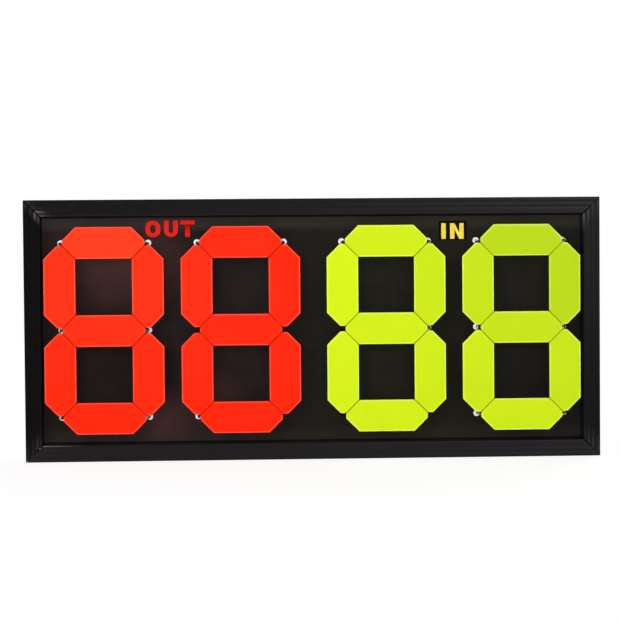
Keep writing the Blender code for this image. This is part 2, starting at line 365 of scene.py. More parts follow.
def makeLamps():
    for name in ("front", "left", "sheen", "behind"):
        facts = lightFacts[name]
        lamp = looseObject(name + "Lamp", bpy.data.lights.new(name + "Lamp", "AREA"))
        lamp.data.shape = "RECTANGLE"
        lamp.data.size, lamp.data.size_y = facts["size"]
        lamp.data.energy = facts["watts"]
        lamp.visible_glossy = facts["glossy"]
        lamp.visible_diffuse = facts["diffuse"]
        towards = Vector(facts["aim"]) - Vector(facts["place"])
        lamp.location = facts["place"]
        lamp.rotation_euler = towards.to_track_quat("-Z", "Y").to_euler()


def seenDirectly(tree, inMirrors):
    # 1 for the camera, and for gloss and glass as much as the pattern says
    path = addNode(tree, "LightPath").outputs
    mirrored = larger(tree, path["Is Glossy Ray"], path["Is Transmission Ray"])
    return larger(tree, path["Is Camera Ray"], multiply(tree, mirrored, inMirrors))


def makeRoom():
    facts = lightFacts
    world = bpy.data.worlds.new("room")
    bpy.context.scene.world = world
    world.use_nodes = True
    tree = world.node_tree
    tree.nodes.clear()
    towards = addNode(tree, "TexCoord").outputs["Generated"]
    depth = addNode(tree, "SeparateXYZ", {0: towards}).outputs["Y"]
    bright = spread(tree, depth, *facts["roomTurns"], facts["roomAhead"], facts["room"])
    seen = seenDirectly(tree, spread(tree, depth, *facts["backdropStarts"]))
    strength = add(tree, multiply(tree, bright, spread(tree, seen, 0, 1, 1, 0)), seen)
    background = addNode(tree, "Background", {"Color": (1, 1, 1, 1), "Strength": strength})
    output = tree.nodes.new("ShaderNodeOutputWorld")
    tree.links.new(background.outputs[0], output.inputs["Surface"])


def makeFloor():
    facts = lightFacts
    settings = {"Base Color": (*facts["floorColour"], 1), "Roughness": 0.8}
    material, tree, shader = newMaterial("floorPale", settings=settings)
    place = addNode(tree, "NewGeometry").outputs["Position"]
    away = addNode(tree, "VectorMath", {0: place}, operation="LENGTH").outputs["Value"]
    near = spread(tree, away, *facts["shadeReach"], 1.0, 0.0)
    glow = addNode(tree, "Emission", {"Color": (1, 1, 1, 1)})
    tree.links.new(spread(tree, near, 0, 1, 1.0, facts["floorGlow"]), glow.inputs["Strength"])
    tone = mixColours(tree, near, (0, 0, 0), (facts["floorShade"],) * 3)
    shade = addNode(tree, "BsdfDiffuse", {"Color": tone})
    pale = addNode(tree, "AddShader", {0: glow.outputs[0], 1: shade.outputs[0]})
    ahead = addNode(tree, "SeparateXYZ", {0: place}).outputs["Y"]
    seen = seenDirectly(tree, spread(tree, ahead, *facts["floorMirrored"]))
    both = addNode(tree, "MixShader", {0: seen, 1: shader.outputs[0], 2: pale.outputs[0]})
    tree.links.new(both.outputs[0], tree.nodes["Material Output"].inputs["Surface"])
    reach = facts["floorReach"]
    shape = bmesh.new()
    corners = [(-reach, -reach), (reach, -reach), (reach, reach), (-reach, reach)]
    shape.faces.new([shape.verts.new((x, y, 0)) for x, y in corners])
    floor = looseObject("floor", finishedMesh("floor", shape))
    floor.location.z = -facts["floorDrop"]
    floor.data.materials.append(material)


makeCamera()
makeLamps()
makeRoom()
makeFloor()
bpy.context.scene.view_settings.view_transform = "Standard"
print("camera, lamps, room and floor are set")


# Where the digits are, read from the frame

digitNames = ("out_tens", "out_units", "in_tens", "in_units")
flapNames = ("top", "upper_left", "upper_right", "middle", "lower_left", "lower_right", "bottom")
panelLow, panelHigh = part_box("panel")


def middleOf(node):
    low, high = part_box(node)
    return (low + high) / 2


def pitch():
    # from post to post
    return middleOf("out_tens_upper_right_flap").x - middleOf("out_tens_upper_left_flap").x


# Rails: a ribbed black section, mitred at 45 degrees, hollow inside

railFacts = {
    **lengths(face=22.0, ribWidth=6.6, ribRise=0.28, lipWidth=1.0, lipDrop=0.8, outerRound=1.2),
    **lengths(backRound=0.5, wall=1.8, grooveDepth=5.5, grooveGap=0.3, mitreGap=0.3, leastStep=0.05),
    **lengths(mitreSoft=0.3),  # the sawn edge, just taken off
    **lengths(bandStart=1.6),  # from the inner band's last rise to where its painted glints thin out
    "ribs": 2, "ribSteps": 12, "lipSteps": 9, "outerSteps": 4,
    # distances from the mitre at which the rail gets a row of points
    "rows": [v * mm for v in (0.7, 1.4, 4, 8, 13, 20, 28, 40, 60, 90)],
    # how strongly a painted glint takes on each form of the section
    "crest": {"back": 0.2, "side": 0.3, "edge": 0.8, "band": 0.15, "lip": 1.0, "lipEnd": 0.3},
    "lipCrest": (0.09, 0.98),  # the part of the lip's turn that is its crest
    # the dark line beside each mitre, and how dark it is on the lip, the band and the ribs
    **lengths(jointReach=0.8), "jointOn": (1.0, 1.0, 0.15),
    "joint": (0.0008, 0.0008, 0.0009), "jointRougher": 0.45,
    # Each rail's black is a little different, and the differences are painted reflection, for how much sheen
    #  each rail shows. The lip's paler black, a painted highlight, and the sheen fade's are shares of it,
    #  the fade's, painted sheen, at the rail's low and high end. Painted glints by the mitres have their
    #  reach, mm, and how strong they are on the lip, on the broad band beside it and on the ribs, the low
    #  end first. The low end is the left rail's bottom, the top rail's left, the right rail's top and the
    #  bottom rail's right.
    "rails": {
        "rail_left": {"black": (0.0030, 0.0021, 0.0027), "gloss": 0.05, "lip": 1.0, "fade": (1.0, 1.0),
                      "rubbed": ((22, 0.05, 0.24, 0.10), (12, 0.3, 1.0, 0.15))},
        "rail_top": {"black": (0.0046, 0.0034, 0.0044), "gloss": 0.11, "lip": 2.3, "fade": (0.95, 1.15),
                     "rubbed": ((14, 0.5, 1.0, 0.1), (5, 0.1, 0.1, 0.05))},
        "rail_right": {"black": (0.0044, 0.0043, 0.0045), "gloss": 0.06, "lip": 1.5, "fade": (1.45, 0.63),
                       "rubbed": ((22, 1.0, 0.35, 0.12), (26, 0.05, 0.22, 0.18))},
        "rail_bottom": {"black": (0.0076, 0.0060, 0.0072), "gloss": 0.11, "lip": 1.2, "fade": (1.0, 1.0),
                        "rubbed": ((8, 0.15, 0.1, 0.05), (46, 1.0, 0.05, 0.05))},
    },
    # the painted sheen's reach, and where the painted glints start, how they fall off and their colour
    **lengths(fadeReach=100, rubStart=1.0), "rubPower": 0.7, "bare": (0.17, 0.165, 0.165),
    # shares of a rail's black: in the cloudy places, and on the inner walls that face the digits, where the
    # paler black is painted light
    "cloudy": 1.35, "wallPaler": 2.6,
    # where these tones start and are full, from the inner edge
    "lipTone": (1.7 * mm, 1.1 * mm), "wallTone": (0.12 * mm, 0.02 * mm),
    "outerTone": (0.02 * mm, 0.30 * mm),  # and where the outer side's fades out, from the outer edge
    "roughness": (0.42, 0.50), "outerRoughness": 0.80,
    # patterns, and the depths of the two that are felt; the streaks run along the rail
    "streaks": (1400, 4, 0.6, (1, 1, 0.012)), "clouds": (45, 3, 0.55, (1, 1, 0.25)),
    "patches": (420, 4, 0.65, (1, 1, 0.3)), "grain": (2600, 2),
    **lengths(streakDepth=0.010, grainDepth=0.008),
}


def railSection():
    # across from the outer edge and back from the front plane, with how strongly a rub takes at each point
    facts, crest = railFacts, railFacts["crest"]
    face, ribWidth, back = facts["face"], facts["ribWidth"], facts["backRound"]
    depth = cadHigh.y - cadLow.y
    points = [(0.0, depth - back, crest["back"]), (0.0, facts["outerRound"], crest["side"])]
    for cos, sin in quarterTurn(facts["outerSteps"])[1:]:
        inwards, forwards = facts["outerRound"] * (1 - cos), facts["outerRound"] * (1 - sin)
        crown = facts["ribRise"] * (2 * inwards / ribWidth - 1) ** 2
        points.append((inwards, forwards + crown * sin, crest["edge"]))
    # the inner band begins like one more rib, stays flat and rolls over in the lip
    for rib in range(facts["ribs"] + 1):
        last = facts["ribSteps"] if rib < facts["ribs"] else facts["ribSteps"] // 2
        for step in range(last):
            share = step / facts["ribSteps"]
            across = (rib + share) * ribWidth
            if across > points[-1][0] + facts["leastStep"]:
                points.append((across, facts["ribRise"] * (2 * share - 1) ** 2, 1 - abs(2 * share - 1)))
    points.append((points[-1][0] + facts["bandStart"], 0.0, crest["band"]))
    low, high = facts["lipCrest"]
    for cos, sin in quarterTurn(facts["lipSteps"]):
        rolled = crest["lip"] if low < sin < high else crest["lipEnd"]
        points.append((face - facts["lipWidth"] * (1 - sin), facts["lipDrop"] * (1 - cos), rolled))
    grooveFront = panelLow.y - cadLow.y - facts["grooveGap"]
    grooveBack = panelHigh.y - cadLow.y + facts["grooveGap"]
    inner = face - facts["grooveDepth"]
    points += [(face, grooveFront, 0), (inner, grooveFront, 0)]
    points += [(inner, grooveBack, 0), (face, grooveBack, 0)]
    return points + [(face, depth - back, crest["back"]), (face - back, depth, 0), (back, depth, 0)]


def railPart(across):
    # 0 on the lip, 1 on the broad band beside it, 2 on the ribs
    if across > railFacts["face"] - railFacts["lipWidth"]:
        return 0
    return 1 if across > railFacts["ribs"] * railFacts["ribWidth"] else 2


def channelSection():
    # the hollow inside, which steps in behind the groove
    facts = railFacts
    wall, deep = facts["wall"], facts["face"] - facts["wall"]
    inner = deep - facts["grooveDepth"]
    front, back = facts["lipDrop"] + wall, cadHigh.y - cadLow.y - wall
    step = panelLow.y - cadLow.y - facts["grooveGap"] - wall
    return [(wall, front), (deep, front), (deep, step), (inner, step), (inner, back), (wall, back)]


def endOf(length, across):
    # how far from a rail's middle its mitre lies, this far across
    return length / 2 - across - railFacts["mitreGap"] / math.sqrt(2)


def railRings(name, length, section):
    # the skin's rings from the low end to the high one, with the painted glint and the joint's dark at each
    # point
    facts = railFacts
    flat = [(across, back) for across, back, _ in section]
    parts = [(crest, railPart(across)) for across, _, crest in section]
    drawnIn = insetOutline(flat, math.copysign(facts["mitreSoft"], signedArea(flat)))
    # each row lies at its distance from the mitre plane
    rows = [(0.0, drawnIn), (facts["mitreSoft"], flat)] + [(row, flat) for row in facts["rows"]]
    rings, marks = [], []
    rubbed = facts["rails"][name]["rubbed"]
    for end, (reach, *strengths), ends in zip((-1, 1), rubbed, (rows, rows[::-1])):
        for away, outline in ends:
            rings.append([(x, y, end * (endOf(length, x) - away)) for x, y in outline])
            rub = max(0.0, 1 - away / (reach * mm)) ** facts["rubPower"] if away > facts["rubStart"] else 0.0
            dark = 1.0 if away < facts["jointReach"] else 0.0
            marks.append([(rub * crest * strengths[part], dark * facts["jointOn"][part])
                          for crest, part in parts])
    return rings, marks


def railMesh(name, length):
    rings, marks = railRings(name, length, railSection())
    channel = [[(x, y, end * endOf(length, x)) for x, y in channelSection()] for end in (-1, 1)]
    shape = bmesh.new()
    scuff = shape.verts.layers.float.new("scuff")
    joint = shape.verts.layers.float.new("joint")
    skin = loftRings(shape, rings, capEnds=False)
    for ring, values in zip(skin, marks):
        for vert, (rubbedHere, jointHere) in zip(ring, values):
            vert[scuff] = rubbedHere
            vert[joint] = jointHere
    inside = loftRings(shape, channel, capEnds=False)
    for end in (0, -1):
        edges = []
        for ring in (skin[end], inside[end]):
            edges += [shape.edges.get((ring[i - 1], ring[i])) for i in range(len(ring))]
        bmesh.ops.triangle_fill(shape, use_beauty=True, use_dissolve=False, edges=edges)
    return finishedMesh(name + "_shell", shape, sharpAngle=28)


def railMaterial(name):
    facts = railFacts
    own = facts["rails"][name]
    black = own["black"]
    material, tree, shader = newMaterial(name + "SatinBlack", own["gloss"])
    streaks, clouds, patches, grain = patterns(tree, facts, "streaks", "clouds", "patches", "grain")
    uneven = add(tree, streaks, clouds)
    across, _, along = addNode(tree, "SeparateXYZ", {0: ownPlace(tree)}).outputs
    # the lip's paler black is a painted highlight, and the inner wall's paler black is painted light
    lip = spread(tree, across, *(facts["face"] - away for away in facts["lipTone"]))
    wall = spread(tree, across, *(facts["face"] - away for away in facts["wallTone"]))
    outside = spread(tree, across, *facts["outerTone"], 1.0, 0.0)
    # painted sheen: the rail grows lighter or darker towards its ends
    faded = spread(tree, along, -facts["fadeReach"], facts["fadeReach"], *own["fade"])
    # painted glints by the mitres, standing in for the reflections of lamps
    rub = multiply(tree, attribute(tree, "scuff"), spread(tree, patches, 0.28, 0.52))
    joint = attribute(tree, "joint")
    colour = mixColours(tree, spread(tree, uneven, 0.7, 1.3), black, scaled(black, facts["cloudy"]))
    colour = mixColours(tree, 1.0, colour, faded, "MULTIPLY")
    lipBlack, wallBlack = scaled(black, own["lip"]), scaled(black, facts["wallPaler"])
    colour = layered(tree, colour, (lip, lipBlack), (wall, wallBlack), (rub, facts["bare"]),
                     (joint, facts["joint"]))
    low, high = facts["roughness"]
    rough = spread(tree, uneven, 0.75, 1.25, low, high)
    rough = add(tree, rough, multiply(tree, outside, facts["outerRoughness"] - high))
    rough = add(tree, rough, multiply(tree, joint, facts["jointRougher"]))
    heights = [(streaks, facts["streakDepth"]), (grain, facts["grainDepth"])]
    finishShader(tree, shader, colour, rough, heights)
    return material


def makeRails():
    width, height = cadHigh.x - cadLow.x, cadHigh.z - cadLow.z
    middle = (cadLow.z + cadHigh.z) / 2
    rails = {
        "rail_left": (cadLow.x, middle, 0, height), "rail_top": (0, cadHigh.z, 90, width),
        "rail_right": (cadHigh.x, middle, 180, height), "rail_bottom": (0, cadLow.z, 270, width),
    }
    for name, (x, z, degrees, length) in rails.items():
        place = placed((x, cadLow.y, z), degrees)
        mesh, material = railMesh(name, length), railMaterial(name)
        addPiece(name + "_shell", mesh, material, "frame", [name], place)


# Corner keys: cast angles inside the rails, with saw teeth

keyFacts = {
    **lengths(arm=40.0, gap=0.3, toothDepth=0.7, tipDepth=1.05, edge=0.4, grainDepth=0.03),
    "teeth": 6,
    "toothStarts": 0.5, "toothEnds": 1.4,  # in teeth, where one's slope begins and where it is deepest
    "zinc": ((0.30, 0.30, 0.31), (0.42, 0.42, 0.43)), "roughness": (0.48, 0.62),
    "mottle": (260, 4, 0.6), "grain": (1500, 2),
}


def keyTeeth(inner, tip):
    # distances along an arm, from the corner out to its tip, and how deep the saw teeth cut there
    facts = keyFacts
    apart = (tip - inner) / (facts["teeth"] + 1)
    points = []
    for tooth in range(facts["teeth"]):
        points.append((inner + apart * (tooth + facts["toothStarts"]), 0.0))
        points.append((inner + apart * (tooth + facts["toothEnds"]), facts["toothDepth"]))
    return points


def keyMesh():
    facts = keyFacts
    channel = channelSection()
    low, high = channel[0][0] + facts["gap"], channel[3][0] - facts["gap"]
    front, back = channel[0][1] + facts["gap"], channel[4][1] - facts["gap"]
    tip = railFacts["face"] + facts["arm"]
    teeth = keyTeeth(high, tip)
    arm = [(along, low + cut) for along, cut in teeth]
    arm += [(tip, low + facts["tipDepth"]), (tip, high - facts["tipDepth"])]
    arm += [(along, high - cut) for along, cut in teeth[::-1]]
    # the other arm is the same, mirrored in the corner's diagonal
    outline = [(low, low)] + arm + [(high, high)] + [(up, across) for across, up in arm[::-1]]
    mesh = filmMesh("cornerKey", [outline], back - front, facts["edge"])
    mesh.transform(Matrix.Translation((0, back, 0)))
    return mesh


def makeKeys():
    facts = keyFacts
    material, tree, shader = newMaterial("castZinc", settings={"Metallic": 1.0})
    mottle, grain = patterns(tree, facts, "mottle", "grain")
    colour = mixColours(tree, mottle, *facts["zinc"])
    rough = spread(tree, mottle, 0.3, 0.7, *facts["roughness"])
    finishShader(tree, shader, colour, rough, [(grain, facts["grainDepth"])])
    mesh = keyMesh()
    corners = {
        "bottom_left": (cadLow.x, cadLow.z, 0), "bottom_right": (cadHigh.x, cadLow.z, 270),
        "top_right": (cadHigh.x, cadHigh.z, 180), "top_left": (cadLow.x, cadHigh.z, 90),
    }
    for name, (x, z, degrees) in corners.items():
        addPiece("corner_key_" + name, mesh, material, "frame", place=placed((x, cadLow.y, z), degrees))


# Panel: a matt black sheet. Its solid stays and gets the finish.

panelFacts = {
    "black": (0.0106, 0.0101, 0.0074), "worn": (0.0160, 0.0152, 0.0112), "mark": (0.036, 0.033, 0.030),
    "tinged": (1.17, 0.91, 1.12),  # painted red glow: the black is a little redder behind the red digits
    "tingeEdge": (-0.03, 0.01),
    # places with a painted red glow, and darker places: across, up and reach in metres, and how strong
    "redder": ((-0.248, 0.266, 0.080, 1.0), (-0.300, 0.265, 0.080, 0.5), (-0.203, 0.052, 0.055, 0.9),
               (-0.135, 0.080, 0.050, 0.75), (-0.195, 0.255, 0.060, 0.35)),
    "deeper": ((0.300, 0.080, 0.160, 0.50), (-0.280, 0.115, 0.120, 0.42)),
    "red": (0.064, 0.026, 0.025), "deep": (0.0046, 0.0041, 0.0029),
    # paler strips along the top and the bottom edge: where each starts and is full, and how strong
    "strips": ((0.306, 0.315, 1.0), (0.043, 0.033, 0.45)),
    "strip": (0.0360, 0.0280, 0.0275), "stripRight": (0.0265, 0.0250, 0.0200), "stripTurns": (-0.25, 0.15),
    "edgeLines": ((0.3255, 0.3266), (0.0245, 0.0234)),  # painted shadow, dark beside the top and bottom rails
    "frontOnly": (0.2 * mm, 0.4 * mm),  # these marks end this far behind the front
    "gloss": 0.02, "roughness": (0.40, 0.55),
    "clouds": (9, 4, 0.6), "wipes": (160, 4, 0.6, (0.12, 1, 1)), "upWipes": (120, 4, 0.6, (1, 1, 0.1)),
    "scratches": (520, 2, 0.5, (0.03, 1, 1.5)), "grain": (1900, 3, 0.6),
    **lengths(grainDepth=0.03, wearDepth=0.05),
}


def panelStains(tree, colour, clouds, front):
    facts = panelFacts
    # a painted red glow from the red flaps, and darker places
    for kind, stain in (("deeper", facts["deep"]), ("redder", facts["red"])):
        for x, z, reach, strength in facts[kind]:
            places = {0: ownPlace(tree), 1: (x, panelLow.y, z)}
            away = addNode(tree, "VectorMath", places, operation="DISTANCE").outputs["Value"]
            near = spread(tree, away, 0.0, reach, strength, 0.0)
            near = multiply(tree, near, spread(tree, clouds, 0.3, 0.7, 0.6, 1.0))
            colour = mixColours(tree, multiply(tree, near, front), colour, stain)
    return colour


def panelEdges(tree, colour, wear, front, across, up):
    facts = panelFacts
    strip = mixColours(tree, spread(tree, across, *facts["stripTurns"]), facts["strip"], facts["stripRight"])
    uneven = spread(tree, wear, 0.3, 0.7, 0.8, 1.0)
    for start, full, strength in facts["strips"]:
        near = multiply(tree, spread(tree, up, start, full, 0.0, strength), uneven)
        colour = mixColours(tree, multiply(tree, near, front), colour, strip)
    # painted shadow beside the top and bottom rails
    for start, full in facts["edgeLines"]:
        colour = mixColours(tree, spread(tree, up, start, full), colour, facts["deep"])
    return colour


def finishPanel():
    facts = panelFacts
    material, tree, shader = newMaterial("panelMattBlack", facts["gloss"])
    clouds, wipes, upWipes = patterns(tree, facts, "clouds", "wipes", "upWipes")
    scratches, grain = patterns(tree, facts, "scratches", "grain")
    wear = add(tree, multiply(tree, wipes, 0.5), multiply(tree, upWipes, 0.5))
    across, back, up = addNode(tree, "SeparateXYZ", {0: ownPlace(tree)}).outputs
    front = spread(tree, back, *(panelLow.y + depth for depth in facts["frontOnly"]), 1.0, 0.0)
    # painted red glow over the left half, from the red digits
    left = multiply(tree, spread(tree, across, *facts["tingeEdge"], 1.0, 0.0), front)
    uneven = spread(tree, add(tree, clouds, wear), 0.75, 1.3)
    colour = mixColours(tree, uneven, facts["black"], facts["worn"])
    tinge = mixColours(tree, left, (1, 1, 1), facts["tinged"])
    colour = mixColours(tree, 1.0, colour, tinge, "MULTIPLY")
    colour = panelStains(tree, colour, clouds, front)
    colour = panelEdges(tree, colour, wear, front, across, up)
    marks = multiply(tree, spread(tree, scratches, 0.70, 0.78), spread(tree, clouds, 0.5, 0.62))
    colour = mixColours(tree, marks, colour, facts["mark"])
    rough = spread(tree, add(tree, wear, multiply(tree, clouds, 0.5)), 0.5, 1.0, *facts["roughness"])
    finishShader(tree, shader, colour, rough, [(grain, facts["grainDepth"]), (wear, facts["wearDepth"])])
    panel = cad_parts["panel"]
    panel.data.materials.clear()
    panel.data.materials.append(material)


makeRails()
makeKeys()
finishPanel()
print("rails, corner keys and panel are dressed")


# Flaps: a coloured sheet and a black one back to back, with rounded outer edges

flapFacts = {
    **lengths(thickness=4.5, edgeRound=0.55, cornerRound=1.5, cornerLeast=0.25, mitreGap=0.3),
    **lengths(seam=0.10, seamEdge=0.15),  # the line between the two sheets
    **lengths(boreRadius=1.3, boreDepth=5.9, borePast=3),
    "roundSteps": 5, "cornerSteps": 4, "boreSides": 16,
    # distances from the rounded edge at which the face gets a ring of points
    "rings": [v * mm for v in (0.15, 0.4, 0.7, 1.1, 1.6, 2.4)],
    # millimetres from the outline: a free edge has a paler line, a painted highlight, which stops near a
    # mitre,
    #  and a mitred edge a deeper one, painted shade in the seam
    "rim": (0.25, 0.75, 1.25, 2.1), "rimStops": (1.2, 2.4), "seamLine": (-1.0, 0.0, 0.55, 1.0),
    "rimShare": 0.7, "seamShare": 0.85,
    **lengths(markReach=2.5), "markShare": 0.4,  # how near a corner a mark ends, or which share of the side
    "clouds": (24, 3, 0.5), "mottle": (260, 3, 0.6), "rubs": (380, 3, 0.55, (0.06, 1, 1)),
    "grain": (1500, 3, 0.6), **lengths(cloudDepth=0.06),
    # each finish's rim colour is a painted highlight, and its seam colour is painted shade
    "finishes": {
        "red": {"colour": (0.97, 0.0423, 0.0107), "deep": (0.95, 0.0162, 0.0014), "rim": (0.98, 0.13, 0.08),
                "seam": (0.66, 0.012, 0.003), "gloss": 0.08, "roughness": (0.26, 0.36),
                "grainDepth": 0.010 * mm},
        "lime": {"colour": (0.62, 0.813, 0.0085), "deep": (0.465, 0.645, 0.0075), "rim": (0.84, 0.98, 0.16),
                 "seam": (0.40, 0.50, 0.003), "gloss": 0.08, "roughness": (0.26, 0.36),
                 "grainDepth": 0.010 * mm},
        "black": {"colour": (0.012, 0.012, 0.013), "deep": (0.009, 0.009, 0.010),
                  "rim": (0.035, 0.035, 0.036), "seam": (0.006, 0.006, 0.006), "gloss": 0.15,
                  "roughness": (0.38, 0.52), "grainDepth": 0.014 * mm},
    },
    # how the painted light falls off: metres round the first red flap, and shares across and up the lime
    # ones
    "redReach": 0.12, "limeFall": 2.24, "limeStart": 0.03, "limeTilt": 0.73,
}


def dyeOf(digit, place):
    # painted light falloff: 0 is the deep colour, 1 the full one: red is fullest and lime deepest at their
    # upper outer corners
    facts = flapFacts
    if digit.startswith("out"):
        return math.exp(-(place - middleOf("out_tens_top_flap")).length / facts["redReach"])
    row = (place.z - middleOf(digit + "_middle_flap").z) / pitch()
    fall = facts["limeFall"] * (place.x - facts["limeStart"]) * (1 + facts["limeTilt"] * row)
    return max(0.0, 1 - fall)


def flapCorners():
    # half of a flap's length ends at its blunt tip, and its ends slope at 45 degrees to meet the next flap
    low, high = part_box("out_tens_top_flap")
    tip = (high.x - low.x) / 2
    half = (high.z - low.z) / 2
    left, right = middleOf("out_tens_upper_left_flap").x, middleOf("out_tens_upper_right_flap").x
    offset = flapFacts["mitreGap"] / math.sqrt(2)
    blunt = (right - left) / 2 - tip - offset
    edge = (right - left) / 2 - half - offset
    return [(tip, -blunt), (tip, blunt), (edge, half), (-edge, half),
            (-tip, blunt), (-tip, -blunt), (-edge, -half), (edge, -half)]


def splitSides(outline, arc):
    # adds two points to each straight side, so that what a corner is marked with ends near it
    facts = flapFacts
    made = []
    for start in range(0, len(outline), arc):
        made += outline[start:start + arc]
        here, there = made[-1], outline[(start + arc) % len(outline)]
        share = min(facts["markShare"], facts["markReach"] / (there - here).length)
        made += [here.lerp(there, share), there.lerp(here, share)]
    return made


def boreMeshes(tip):
    facts = flapFacts
    radius = facts["boreRadius"]
    bores = []
    for side in (-1, 1):
        start, end = side * (tip - facts["boreDepth"]), side * (tip + facts["borePast"])
        bore = turnedMesh("bore", [(0, start), (radius, start), (radius, end), (0, end)], facts["boreSides"])
        bore.transform(Matrix.Rotation(-math.pi / 2, 4, "Z"))
        bores.append(bore)
    return bores


def sheetMesh(name, facing, mitred):
    # facing is -1 for the front sheet and 1 for the back one, mitred are the edges that meet other flaps
    facts = flapFacts
    corners = flapCorners()
    face, seam = facts["thickness"] / 2, facts["seam"] / 2
    edge, radius = facts["seamEdge"], facts["edgeRound"]
    profile = [(edge, seam), (0.0, seam + edge)]
    for cos, sin in quarterTurn(facts["roundSteps"]):
        profile.append((radius * (1 - cos), face - radius * (1 - sin)))
    profile += [(radius + further, face) for further in facts["rings"]]
    rings = []
    for inset, height in profile:
        cornerRadius = max(facts["cornerRound"] - inset, facts["cornerLeast"])
        outline = roundOutline(insetOutline(corners, inset), cornerRadius, facts["cornerSteps"])
        outline = splitSides(outline, facts["cornerSteps"] + 1)
        rings.append([(across, facing * height, up) for across, up in outline])
    shape = bmesh.new()
    loftRings(shape, rings)
    sheet = combine(finishedMesh(name, shape), boreMeshes(corners[0][0]), "DIFFERENCE", name)
    markEdges(sheet, corners, mitred)
    return sheet


def markEdges(mesh, corners, mitred):
    # two lines beside the outline, as values from 0 to 1: a painted highlight on the free edges and painted
    # shade in the seams of the mitred ones
    facts = flapFacts
    rim = mesh.attributes.new("rim", "FLOAT", "POINT")
    seam = mesh.attributes.new("seam", "FLOAT", "POINT")
    points = [Vector(corner) for corner in corners]
    for vert in mesh.vertices:
        here = Vector((vert.co.x, vert.co.z))
        away = [leftOf((points[i] - points[i - 1]).normalized()).dot(here - points[i - 1]) / mm
                for i in range(len(points))]
        toMitre = min(away[i] for i in mitred)
        toFree = min(away[i] for i in range(len(points)) if i not in mitred)
        seam.data[vert.index].value = hump(toMitre, facts["seamLine"])
        rim.data[vert.index].value = hump(toFree, facts["rim"]) * ramp(toMitre, *facts["rimStops"])


def ramp(value, start, full):
    return max(0.0, min(1.0, (value - start) / (full - start)))


def hump(value, stops):
    # rises from the first stop to the second, and falls from the third to the fourth
    return min(ramp(value, stops[0], stops[1]), ramp(value, stops[3], stops[2]))


def sheetMaterial(name, finish):
    facts = flapFacts
    material, tree, shader = newMaterial(name, finish["gloss"])
    shift = multiply(tree, addNode(tree, "ObjectInfo").outputs["Random"], 9.0)
    clouds, mottle, rubs, grain = patterns(tree, facts, "clouds", "mottle", "rubs", "grain", shift=shift)
    uneven = spread(tree, add(tree, clouds, multiply(tree, mottle, 0.5)), 0.5, 1.0, 0.06, -0.06)
    # painted light that falls off across the flaps
    share = add(tree, attribute(tree, "dye", "OBJECT"), uneven)
    colour = mixColours(tree, share, finish["deep"], finish["colour"])
    # painted highlight along the free edges
    worn = multiply(tree, attribute(tree, "rim"), spread(tree, mottle, 0.25, 0.6, 0.5, 1.0))
    rim = multiply(tree, worn, facts["rimShare"])
    # painted shade in the mitred seams
    seam = multiply(tree, attribute(tree, "seam"), facts["seamShare"])
    colour = layered(tree, colour, (rim, finish["rim"]), (seam, finish["seam"]))
    rough = add(tree, multiply(tree, rubs, 0.6), multiply(tree, clouds, 0.4))
    rough = spread(tree, rough, 0.35, 0.65, *finish["roughness"])
    finishShader(tree, shader, colour, rough, [(grain, finish["grainDepth"]), (clouds, facts["cloudDepth"])])
    return material


def makeFlaps():
    materials = {}
    for name, finish in flapFacts["finishes"].items():
        materials[name] = sheetMaterial(f"flap{name.capitalize()}Sheet", finish)
    # an outer flap meets its neighbours along its inner side, the middle one all round
    meshes = {}
    for kind, mitred in (("outer", (0, 6)), ("middle", (0, 2, 4, 6))):
        meshes[kind] = sheetMesh(kind + "FrontSheet", -1, mitred), sheetMesh(kind + "BackSheet", 1, mitred)
    turns = {"bottom": 180, "upper_left": -90, "lower_left": -90, "upper_right": 90, "lower_right": 90}
    for digit in digitNames:
        colour = "red" if digit.startswith("out") else "lime"
        for name in flapNames:
            body, node = f"{digit}_{name}", f"{digit}_{name}_flap"
            place = placed(middleOf(node), turns.get(name, 0))
            front, back = meshes["middle" if name == "middle" else "outer"]
            for side, mesh, finish in (("_front", front, colour), ("_back", back, "black")):
                sheet = addPiece(body + side, mesh, materials[finish], body, [node], place)
                # the painted light's share for this flap
                sheet["dye"] = dyeOf(digit, middleOf(node))


makeFlaps()
print("flaps are dressed, a front and a back sheet each")


# Posts: a white collar on the panel, a stem with its pins, and a screw behind the panel

